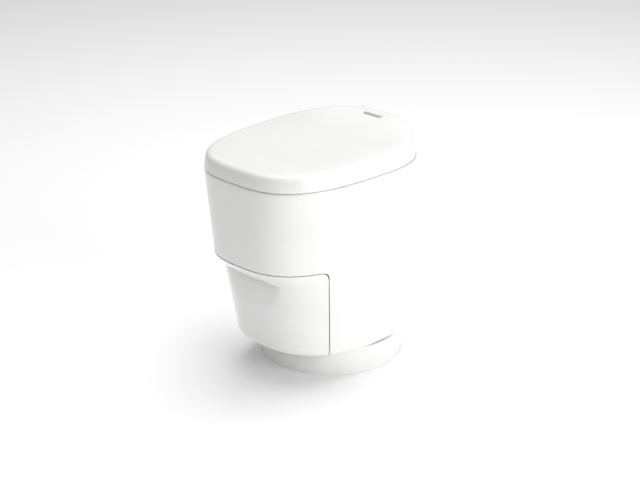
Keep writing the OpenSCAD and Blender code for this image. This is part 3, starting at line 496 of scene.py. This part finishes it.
def make_body():
    low = []
    for row in [shell_line(BOTTOM_Z, LIP_W)] + [shell_line(z) for z in body_rows()]:
        half = resample(split_line(row, 0)[1], BODY_BACK_N)
        low.append(np.vstack([half, flip(half)[::-1][1:]]))

    above = np.array([0, 1.2, 3, 6, 10, 16, 26, 40, 58, 78, 98, 118, 138, 156, 170, 180]) * MM
    levels = [(PARTING_Z + h, 0.0) for h in above]
    levels += [(RIM_Z - RIM_ROUND * (1 - math.sin(a)), RIM_INSET * (1 - math.cos(a)))
               for a in np.radians([0, 14, 28, 42, 56, 68, 78, 86])]
    high = []
    corner = door_edge(np.array([PARTING_Z - 0.001 * MM]), 0)[0]
    for z, inset in levels:
        line = shell_line(z, inset)
        front, back = cut_line(line, line[:, 1] - corner)
        half = np.vstack([resample(front, BODY_FRONT_N), resample(back, BODY_BACK_N)[1:]])
        high.append(np.vstack([half, flip(half)[::-1][1:-1]]))

    body = grids("body", [(low, False), (high, True)])
    face_outwards(body, Vector((0, WIDEST_Y, 0.3)))
    solidify(body, WALL)
    round_edges(body, EDGE_ROUND, 3, 50)
    even_normals(body)
    return body


# ---- Drawer's face with its finger recess ----
LIP_Z = CHIN_Z - 1 * MM
RECESS_END_DROP = 0.45             # the recess's height at its ends, against the middle's
GROOVE_SHARE = 0.45                # extra depth just under the lip, dying out over GROOVE_H
GROOVE_H = 6 * MM
ARCH_FADE = 30 * MM                # height over which the arched lip fades into the band
DRAWER_N = 74


def across_grip(x):
    """1 in the middle of the recess and 0 at its ends."""
    return np.clip(1 - np.abs(x / GRIP_HW) ** 3, 0, 1)


def recess_depth(x, drop):
    """How far the recess goes in, at a distance below the lip."""
    height = GRIP_DROP * (RECESS_END_DROP + (1 - RECESS_END_DROP) * across_grip(x))
    share = np.clip(drop / height, 0, 1)
    groove = GROOVE_SHARE * np.exp(-drop / GROOVE_H)
    return GRIP_DEPTH * across_grip(x) * ((1 - share) ** 1.45 + groove) / 1.25


def arch_lip(line, above, sunk):
    """Lifts a row of the band just above the lip along the band's slope, less the higher the row is.
    A sunk row lies on the recess's ceiling: 1 is its inner end."""
    reach = np.clip((0.98 * GRIP_HW - np.abs(line[:, 0])) / (0.38 * GRIP_HW), 0, 1)
    up = GRIP_ARCH * smooth_step(reach) * max(0, 1 - above / ARCH_FADE)
    inwards = recess_depth(line[:, 0], 0) * sunk - up * BAND_SLOPE * (1 - sunk)
    return line + np.stack([np.zeros_like(up), inwards, up], 1)


def band_line(z):
    """Shell line for the drawer's part of the grip band. The top edge is level, a gap below the
    parting line, wherever the crease has lifted it."""
    height = PARTING_Z - CHIN_Z
    lift = np.minimum(crease_lift(shell_line(z)[:, 1]), height - 6 * MM)
    top = PARTING_Z - DOOR_GAP * height / (height - lift)
    return shell_line(CHIN_Z + (top - CHIN_Z) * ((z - CHIN_Z) / height))


def make_drawer_face():
    heights = [z for z in body_rows() if z < PARTING_Z - 1e-6]
    near = 0.5 * MM
    rows = [(z, 0.0) for z in heights if z < LIP_Z - near]
    rows += [(LIP_Z, sunk) for sunk in (1.0, 0.66, 0.33, 0.0)]
    rows += [(z, 0.0) for z in heights if z > LIP_Z + near] + [(PARTING_Z, 0.0)]

    turned_in = shell_line(BOTTOM_Z, WALL + 3 * MM)
    lines = [both_ways(resample(split_line(turned_in, DOOR_GAP)[0], DRAWER_N))]
    for z, sunk in rows:
        line = band_line(z) if z > CHIN_Z else shell_line(z)
        half = resample(split_line(line, DOOR_GAP)[0], DRAWER_N)
        if z < LIP_Z - 1e-9:
            half[:, 1] += recess_depth(half[:, 0], LIP_Z - z)
        else:
            half = arch_lip(half, z - LIP_Z, sunk)
        lines.append(both_ways(half))

    face = grids("drawer_face", [(lines, False)])
    face_outwards(face, Vector((0, WIDEST_Y, 0.2)))
    solidify(face, WALL)
    round_edges(face, EDGE_ROUND, 3, 44)
    even_normals(face)
    return face


# ---- Lid ----
LID_Z = lid_low.z
LID_H = 36 * MM
LID_RISE = 33 * MM                 # how much higher the lid's back is than its front
LID_EVEN_SHARE = 0.41              # the share of that rise that is even; the rest is the upturned back
LID_UPTURN = 0.73                  # where the upturn starts, as a share of the depth
LID_CROWN = 1.8 * MM               # how much the middle is crowned
LID_BACK_GAP = 9 * MM
LID_WALL = 4 * MM
LID = RIM - np.array([0, 0, LID_BACK_GAP, 0, 0])
NOTCH_HW = 67.5 * MM
NOTCH_Y = HINGE_Y - 8.5 * MM
BARREL_R = 18 * MM
BARREL_GAP = 0.6 * MM


def lid_top(y):
    """Height of the lid's crown line, front to back."""
    t = (y - FRONT_Y) / DEPTH
    s = np.clip((t - LID_UPTURN) / (1 - LID_UPTURN), 0, None)
    return LID_Z + LID_H + LID_RISE * (LID_EVEN_SHARE * t + (1 - LID_EVEN_SHARE) * s * s)


def lid_drop(inset):
    """How far the lid's outside lies below its crown line, at a distance in from its edge."""
    insets = np.array([1.4, 3.4, 5.4, 8.4, 12.5, 18, 45, 90, 168]) * MM
    drops = np.array([-22, -12, -6.5, -2.8, -0.7, 0, 0.8, 1.5, 1.8]) * MM
    return ease(inset, insets, drops)


def lid_row(inset, turn):
    x, y = plan(LID, turn, inset)
    return np.stack([x, y, lid_top(y) + lid_drop(inset)], 1)


def even_turn(count):
    """Angles round the lid's plan at even distances along it."""
    dense = np.radians(np.linspace(-90, 270, 4001))
    x, y = plan(LID, dense, 10 * MM)
    along = np.concatenate([[0], np.cumsum(np.hypot(np.diff(x), np.diff(y)))])
    return np.interp(np.arange(count) / count * along[-1], along, dense)


def make_lid():
    turn = even_turn(256)
    x, y = plan(LID, turn)
    rows = [np.stack([x, y, np.full_like(x, LID_Z)], 1)]
    skirt_drop = 22 * MM
    x, y = plan(LID, turn, 0.5 * MM)
    rows.append(np.stack([x, y, LID_Z + 0.3 * (lid_top(y) - skirt_drop - LID_Z)], 1))
    insets = [1.4, 1.9, 2.5, 3.1, 3.8, 4.6, 5.5, 6.6, 8, 9.8, 12, 14.8,
              18, 23, 30, 40, 52, 66, 82, 100, 118, 136, 152, 164]
    rows += [lid_row(i * MM, turn) for i in insets]
    # Closes the middle with rows that shrink to a short line
    last, spine_end = rows[-1], 28 * MM
    centre_y = np.clip(last[:, 1], last[:, 1].min() + spine_end, last[:, 1].max() - spine_end)
    spine = np.stack([np.zeros(len(last)), centre_y, lid_top(centre_y) + LID_CROWN], 1)
    for t in (0.35, 0.7, 1.0):
        row = last * (1 - t) + spine * t
        row[:, 2] = lid_top(row[:, 1]) + LID_CROWN
        rows.append(row)
    lid = grids("lid", [(rows, True)])
    face_outwards(lid, Vector((0, WIDEST_Y, LID_Z)))
    solidify(lid, LID_WALL)
    apply_all(lid)
    cut_notch(lid)
    round_edges(lid, EDGE_ROUND, 3, 40)
    even_normals(lid)
    return lid


def cut_notch(lid):
    """Cuts the space for the hinge barrels out of the lid's back: their round and all behind it."""
    radius = BARREL_R + BARREL_GAP
    above, behind, below = HINGE_Z + 0.06, HINGE_Y + 0.05, LID_Z - 0.02
    start = math.acos((NOTCH_Y - HINGE_Y) / radius)
    outline = [(NOTCH_Y, above), (NOTCH_Y, HINGE_Z + radius * math.sin(start))]
    outline += [(HINGE_Y + radius * math.cos(a), HINGE_Z + radius * math.sin(a))
                for a in np.linspace(start, 2 * math.pi - start, 40)[1:-1]]
    outline += [(NOTCH_Y, HINGE_Z - radius * math.sin(start)), (NOTCH_Y, below),
                (behind, below), (behind, above)]
    tool = prism("notch_tool", *([(x, y, z) for y, z in outline] for x in (-NOTCH_HW, NOTCH_HW)))
    cut = lid.modifiers.new("notch", "BOOLEAN")
    cut.operation = "DIFFERENCE"
    cut.solver = "EXACT"
    cut.object = tool
    apply_all(lid)
    bpy.data.objects.remove(tool)


# ---- Seat ----
SEAT_IN = 12 * MM                  # how far the seat stands in from the rim, at its sides and front
SEAT_H_MM = 20                     # the height that the lists of (inset, height) are drawn to
SEAT_HOLE = np.array([106 * MM, 136 * MM, 136 * MM, 2.3, 2.3])
SEAT_HOLE_Y = -14 * MM


def make_seat():
    size = np.array([HALF_W - SEAT_IN, RIM[1] - SEAT_IN, seat_high.y - WIDEST_Y, 3.1, 3.0])
    turn = even_turn(240)

    def row(x, y, z_mm):
        height = seat_low.z + z_mm / SEAT_H_MM * (seat_high.z - seat_low.z)
        return np.stack([x, y, np.full_like(x, height)], 1)

    outer = [(6, 0), (3.5, 0), (1.2, 0.8), (0, 3), (0, 8), (0.3, 11.5), (1.2, 14.6), (2.8, 17),
             (5, 18.6), (8.5, 19.6), (14, 20)]
    rows = [row(*plan(size, turn, inset * MM), z) for inset, z in outer]

    inner = [(22, 19.6), (14, 18.2), (8.5, 16.2), (4, 13.2), (1.2, 9.6), (0.2, 6), (0.4, 3), (2, 1),
             (4, 0), (7, 0)]
    hole_x, hole_y = plan(SEAT_HOLE, turn)
    hole_y = hole_y - WIDEST_Y
    grown = [row(hole_x * (1 + grow * MM / SEAT_HOLE[0]),
                 hole_y * (1 + grow * MM / SEAT_HOLE[1]) + SEAT_HOLE_Y, z) for grow, z in inner]

    # The top between the outside and the hole is gently crowned
    out_edge, in_edge, crown = rows[-1], grown[0], 0.25 * MM
    for t in np.linspace(0, 1, 9)[1:-1]:
        top = out_edge * (1 - t) + in_edge * t
        top[:, 2] += crown * math.sin(math.pi * t)
        top[:, 2] = np.minimum(top[:, 2], seat_high.z)
        rows.append(top)
    rows += grown
    under_out, under_in = rows[0], rows[-1]
    rows += [under_in * (1 - t) + under_out * t for t in (0.25, 0.5, 0.75, 1.0)]
    seat = grids("seat", [(rows, True)])
    even_normals(seat)
    return seat


# ---- Bowl ----
BOWL_WALL = 4                      # mm, like all the numbers of the bowl's own lists
# Height, half-width, half-length, middle, exponent of the bowl's inside
BOWL_NECK = [(310, 36, 36, 5, 2), (330, 36.3, 36.6, 4.9, 2)]
BOWL_CUP = [(342, 42, 44, 4, 2), (362, 62, 72, 1, 2.05), (395, 84, 102, -5, 2.15),
            (435, 101, 127, -12, 2.25), (475, 113, 143, -14, 2.3), (496, 116, 147, -14, 2.3)]


def make_bowl():
    turn = full_turn(160)
    bottom = bowl_low.z / MM
    table = np.array([(bottom, 36, 36, 5, 2)] + BOWL_NECK + BOWL_CUP, float)

    def ring(z, grow):
        half_w, half_l, middle, n = (ease(z, table[:, 0], table[:, k]) for k in (1, 2, 3, 4))
        x = (half_w + grow) * spow(np.cos(turn), 2 / n)
        y = middle + (half_l + grow) * spow(np.sin(turn), 2 / n)
        return np.stack([x, y, np.full(len(turn), z)], 1) * MM

    heights = [*np.linspace(bottom, 330, 6), *np.linspace(335, 370, 9),
               *np.linspace(376, 478, 16), 484, 489, 492.5]
    inside = [ring(z, 0) for z in heights]
    lip = [ring(494.6, 0.5), ring(495.6, 1.6), ring(496, 3.2)]
    x, y = plan(RIM, turn, WALL + 0.4 * MM)
    edge = np.stack([x, y, np.full(len(turn), RIM_Z)], 1)
    flat = [lip[-1] * (1 - t) + edge * t for t in (0.33, 0.66, 0.985, 1.0)]
    down = [edge - [0, 0, 4.5 * MM]]
    under = [ring(491.5, BOWL_WALL + 1)]
    outside = [ring(z, BOWL_WALL) for z in reversed(heights) if z < 488]
    bowl = grids("bowl_moulding", [(inside + lip + flat + down + under + outside + [inside[0]], True)])
    round_edges(bowl, 0.6 * MM, 2, 50)
    even_normals(bowl)
    return bowl


# ---- Pedestal ----
def make_pedestal():
    r = (pedestal_high.x - pedestal_low.x) / 2
    centre = ((pedestal_low.x + pedestal_high.x) / 2, (pedestal_low.y + pedestal_high.y) / 2, 0)
    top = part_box("swivel_ring")[0].z - 0.3 * MM
    wall = 5 * MM
    spindle, bore, flange = 30 * MM, 24 * MM, 136 * MM
    profile = [(bore, 0), (bore, pedestal_high.z), (spindle, pedestal_high.z), (spindle, top),
               (100 * MM, top), (r - 3 * MM, top), (r - 0.9 * MM, top - 0.9 * MM), (r, top - 3 * MM),
               (r, top / 2), (r, 2 * MM), (r - 0.6 * MM, 0.6 * MM), (r - 2 * MM, 0), (flange, 0),
               (flange, wall), (r - wall, wall), (r - wall, top - wall), (spindle, top - wall),
               (spindle, 0)]
    pedestal = lathe("pedestal_moulding", profile, centre, 192)
    round_edges(pedestal, 0.5 * MM, 2, 50)
    even_normals(pedestal)
    return pedestal


# ---- Details that ride on the CAD parts ----
def tube(name, points, radius, closed=False):
    """Round bar along a list of points."""
    curve = bpy.data.curves.new(name, "CURVE")
    curve.dimensions = "3D"
    curve.bevel_depth = radius
    curve.bevel_resolution = 3
    spline = curve.splines.new("POLY")
    spline.points.add(len(points) - 1)
    for point, at in zip(spline.points, points):
        point.co = (*at, 1)
    spline.use_cyclic_u = closed
    holder = bpy.data.objects.new(name + "_curve", curve)
    bpy.context.scene.collection.objects.link(holder)
    graph = bpy.context.evaluated_depsgraph_get()
    mesh = bpy.data.meshes.new_from_object(holder.evaluated_get(graph), depsgraph=graph)
    bpy.data.objects.remove(holder)
    mesh.shade_smooth()
    obj = bpy.data.objects.new(name, mesh)
    bpy.context.scene.collection.objects.link(obj)
    return obj


def rounded_outline(x0, x1, y0, y1, r, z, steps=10):
    """Points round a rectangle with round corners, at one height."""
    points = []
    centres = ((x1 - r, y1 - r, 0), (x0 + r, y1 - r, 90), (x0 + r, y0 + r, 180), (x1 - r, y0 + r, 270))
    for cx, cy, start in centres:
        for a in np.radians(np.linspace(start, start + 90, steps)):
            points.append((cx + r * math.cos(a), cy + r * math.sin(a), z))
    return points


def make_tank_ribs():
    """Three stiffening ribs round the sides and front of the cassette, as far back as its wheel arch."""
    corner, end_y = 46 * MM, tank_high.y - 60 * MM
    first_z, step, radius = 132 * MM, 20 * MM, 1.3 * MM
    for k in range(3):
        z = first_z + k * step
        around = rounded_outline(tank_low.x, tank_high.x, tank_low.y, tank_high.y, corner, z, 14)
        front = [p for p in around if p[1] < tank_low.y + corner + MM]
        path = [(tank_low.x, end_y, z)] + front + [(tank_high.x, end_y, z)]
        place(tube(f"tank_rib_{k}", path, radius), "drawer", "tank_plastic")


def make_tank_label():
    """Blank raised plate on the cassette's front, above the handle."""
    half_w, half_h, corner, z = 40 * MM, 10 * MM, 4 * MM, 160 * MM
    outline = rounded_outline(-half_w, half_w, z - half_h, z + half_h, corner, 0, 6)
    sunk, proud = tank_low.y + 0.3 * MM, tank_low.y - 0.8 * MM
    label = prism("tank_label", *([(p[0], y, p[1]) for p in outline] for y in (sunk, proud)))
    round_edges(label, 0.3 * MM, 2)
    even_normals(label)
    place(label, "drawer", "pale_plastic")


def make_panel_rings():
    """Raised ring round each button of the control panel."""
    ring_r, wire_r, stand_off = 13 * MM, 0.7 * MM, 1.3 * MM
    lean = math.atan(9 / 200)      # close to the side wall's own lean
    out = Vector((-math.cos(lean), 0, -math.sin(lean)))
    up = Vector((-math.sin(lean), 0, math.cos(lean)))
    along = Vector((0, 1, 0))
    for node in ("flush_button", "valve_button"):
        low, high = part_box(node)
        middle = (low + high) / 2
        wall_x = HALF_W - SIDE_TAPER * (RIM_Z - middle.z) / (RIM_Z - PARTING_Z)
        face = Vector((-wall_x, middle.y, middle.z)) + out * stand_off
        ring = [face + up * ring_r * math.sin(a) + along * ring_r * math.cos(a) for a in full_turn(64)]
        place(tube(f"{node}_bezel", ring, wire_r, True), "shell", "button_silver")


def make_inlet_grommet():
    """Rubber ring where the water inlet passes through the back."""
    ring_r, wire_r, proud = 10.6 * MM, 1.4 * MM, 0.8 * MM
    low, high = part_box("water_inlet")
    x, z = high.x - 9 * MM, (low.z + high.z) / 2
    half = shell_line(z)
    k = int(np.argmax((half[:, 1] > WIDEST_Y) & (half[:, 0] < x)))
    y = half[k, 1] + proud
    ring = [(x + ring_r * math.cos(a), y, z + ring_r * math.sin(a)) for a in full_turn(56)]
    place(tube("inlet_grommet", ring, wire_r, True), "shell", "black_rubber")


def make_wheel(side):
    """Tyre and hub of one cassette wheel."""
    low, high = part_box(f"{side}_wheel")
    radius, half = (high.z - low.z) / 2, (high.x - low.x) / 2
    bore, groove = 5.06 * MM, 0.7 * MM
    hub_r = radius - 5 * MM
    tread = [(radius - (groove if round((x + half) / MM) % 4 == 0 else 0), x)
             for x in np.linspace(-half + 2.5 * MM, half - 2.5 * MM, 13)]
    shoulder = [(hub_r, half), (radius - 2.5 * MM, half), (radius - 0.8 * MM, half - 0.8 * MM)]
    dish = [(bore, half), (bore + 3.5 * MM, half), (bore + 4.5 * MM, half - 2 * MM),
            (radius - 7.5 * MM, half - 2 * MM), (radius - 6 * MM, half), (hub_r, half)]
    tyre_line = [(r, -x) for r, x in shoulder] + tread + shoulder[::-1]
    hub_line = [(r, -x) for r, x in dish] + dish[::-1]
    tyre, hub = (lathe(f"{side}_{name}", line, (low + high) / 2, 72, "X")
                 for name, line in (("tyre", tyre_line), ("hub", hub_line)))
    even_normals(tyre)
    even_normals(hub)
    place(tyre, f"{side}_wheel", "black_rubber", f"{side}_wheel")
    place(hub, f"{side}_wheel", "dark_plastic")


# ---- CAD nodes that keep their own shape ----
def dress(obj):
    """Gives a CAD node rounded edges and even shading. Its mesh stays as it is."""
    weld = obj.modifiers.new("weld", "WELD")
    weld.merge_threshold = 0.01 * MM
    flat = obj.modifiers.new("flat", "DECIMATE")
    flat.decimate_type = "DISSOLVE"
    flat.angle_limit = math.radians(0.6)
    round_edges(obj, 0.5 * MM, 2, 40)
    even_normals(obj)
    obj.data.shade_smooth()


# Node that each piece replaces: how it is made, its body, its slot
REPLACEMENTS = {
    "body_shell": (make_body, "shell", "gloss_white"),
    "drawer_front": (make_drawer_face, "drawer", "gloss_white"),
    "lid_shell": (make_lid, "lid", "gloss_white"),
    "seat_ring": (make_seat, "seat", "gloss_white"),
    "bowl": (make_bowl, "shell", "bowl_white"),
    "pedestal": (make_pedestal, "pedestal", "gloss_white"),
}
WHEELS = ("left", "right")


def make_all():
    for node, (make, body, slot_name) in REPLACEMENTS.items():
        place(make(), body, slot_name, node)
    make_tank_ribs()
    make_tank_label()
    make_panel_rings()
    make_inlet_grommet()
    for side in WHEELS:
        make_wheel(side)
    replaced = {*REPLACEMENTS, *(f"{side}_wheel" for side in WHEELS)}
    for part in frame["record"]["subparts"]:
        obj = frame["nodes"][part["node"]]
        obj.data.materials.clear()
        obj.data.materials.append(MATERIALS[part["material_slot"]])
        if part["node"] not in replaced:
            dress(obj)


# ---- Stage ----
FLOOR_HALF = 9.0
FLOOR_COLOUR = (0.93, 0.93, 0.93, 1)
FLOOR_GLOW = 0.10                  # lifts the far floor to the photograph's white
WORLD_LIGHT = 0.33
# Name, place, what it points at, size, power
LIGHTS = [
    ("key", (3.2, 0.0, 1.3), (0, 0, 0.25), (2.0, 2.0), 49),
    ("top", (-0.2, 0.8, 4.2), (0, 0.3, 0.3), (3.6, 3.6), 150),
]


def make_stage():
    mesh = bpy.data.meshes.new("floor")
    s = FLOOR_HALF
    mesh.from_pydata([(-s, -s, 0), (s, -s, 0), (s, s, 0), (-s, s, 0)], [], [(0, 1, 2, 3)])
    floor = bpy.data.objects.new("floor", mesh)
    bpy.context.scene.collection.objects.link(floor)
    material, _, shader, _ = node_tree("floor")
    shader.inputs["Base Color"].default_value = FLOOR_COLOUR
    shader.inputs["Emission Color"].default_value = (1, 1, 1, 1)
    shader.inputs["Emission Strength"].default_value = FLOOR_GLOW
    shader.inputs["Roughness"].default_value = 0.7
    floor.data.materials.append(material)

    world = bpy.data.worlds.new("studio")
    bpy.context.scene.world = world
    world.use_nodes = True
    back = world.node_tree.nodes["Background"]
    back.inputs["Color"].default_value = (1, 1, 1, 1)
    back.inputs["Strength"].default_value = WORLD_LIGHT
    bpy.context.scene.view_settings.view_transform = "Standard"

    for name, place_at, aim, size, power in LIGHTS:
        light = bpy.data.lights.new(name, "AREA")
        light.shape = "RECTANGLE"
        light.size, light.size_y = size
        light.energy = power
        obj = bpy.data.objects.new(name, light)
        obj.location = place_at
        obj.rotation_euler = (Vector(aim) - Vector(place_at)).to_track_quat("-Z", "Y").to_euler()
        bpy.context.scene.collection.objects.link(obj)


# ---- Camera, fitted to the object's outlines in the photograph ----
IMAGE_W = 640
FOCAL_PX = 1680.97
SHIFT_PX = (-3.12, 13.61)
SENSOR_MM = 36
AZIMUTH, ELEVATION, DISTANCE = math.radians(45.561), math.radians(22.254), 4.001
TARGET = Vector((0, 37.4 * MM, 248.5 * MM))


def make_camera():
    flat = math.cos(ELEVATION)
    back = Vector((math.sin(AZIMUTH) * flat, -math.cos(AZIMUTH) * flat, math.sin(ELEVATION)))
    camera = bpy.data.cameras.new("camera")
    camera.sensor_width = SENSOR_MM
    camera.lens = SENSOR_MM * FOCAL_PX / IMAGE_W
    camera.shift_x, camera.shift_y = (shift / IMAGE_W for shift in SHIFT_PX)
    camera.clip_end = 50
    obj = bpy.data.objects.new("camera", camera)
    obj.location = TARGET + back * DISTANCE
    obj.rotation_euler = back.to_track_quat("Z", "Y").to_euler()
    bpy.context.scene.collection.objects.link(obj)
    bpy.context.scene.camera = obj


make_camera()
make_stage()
make_all()
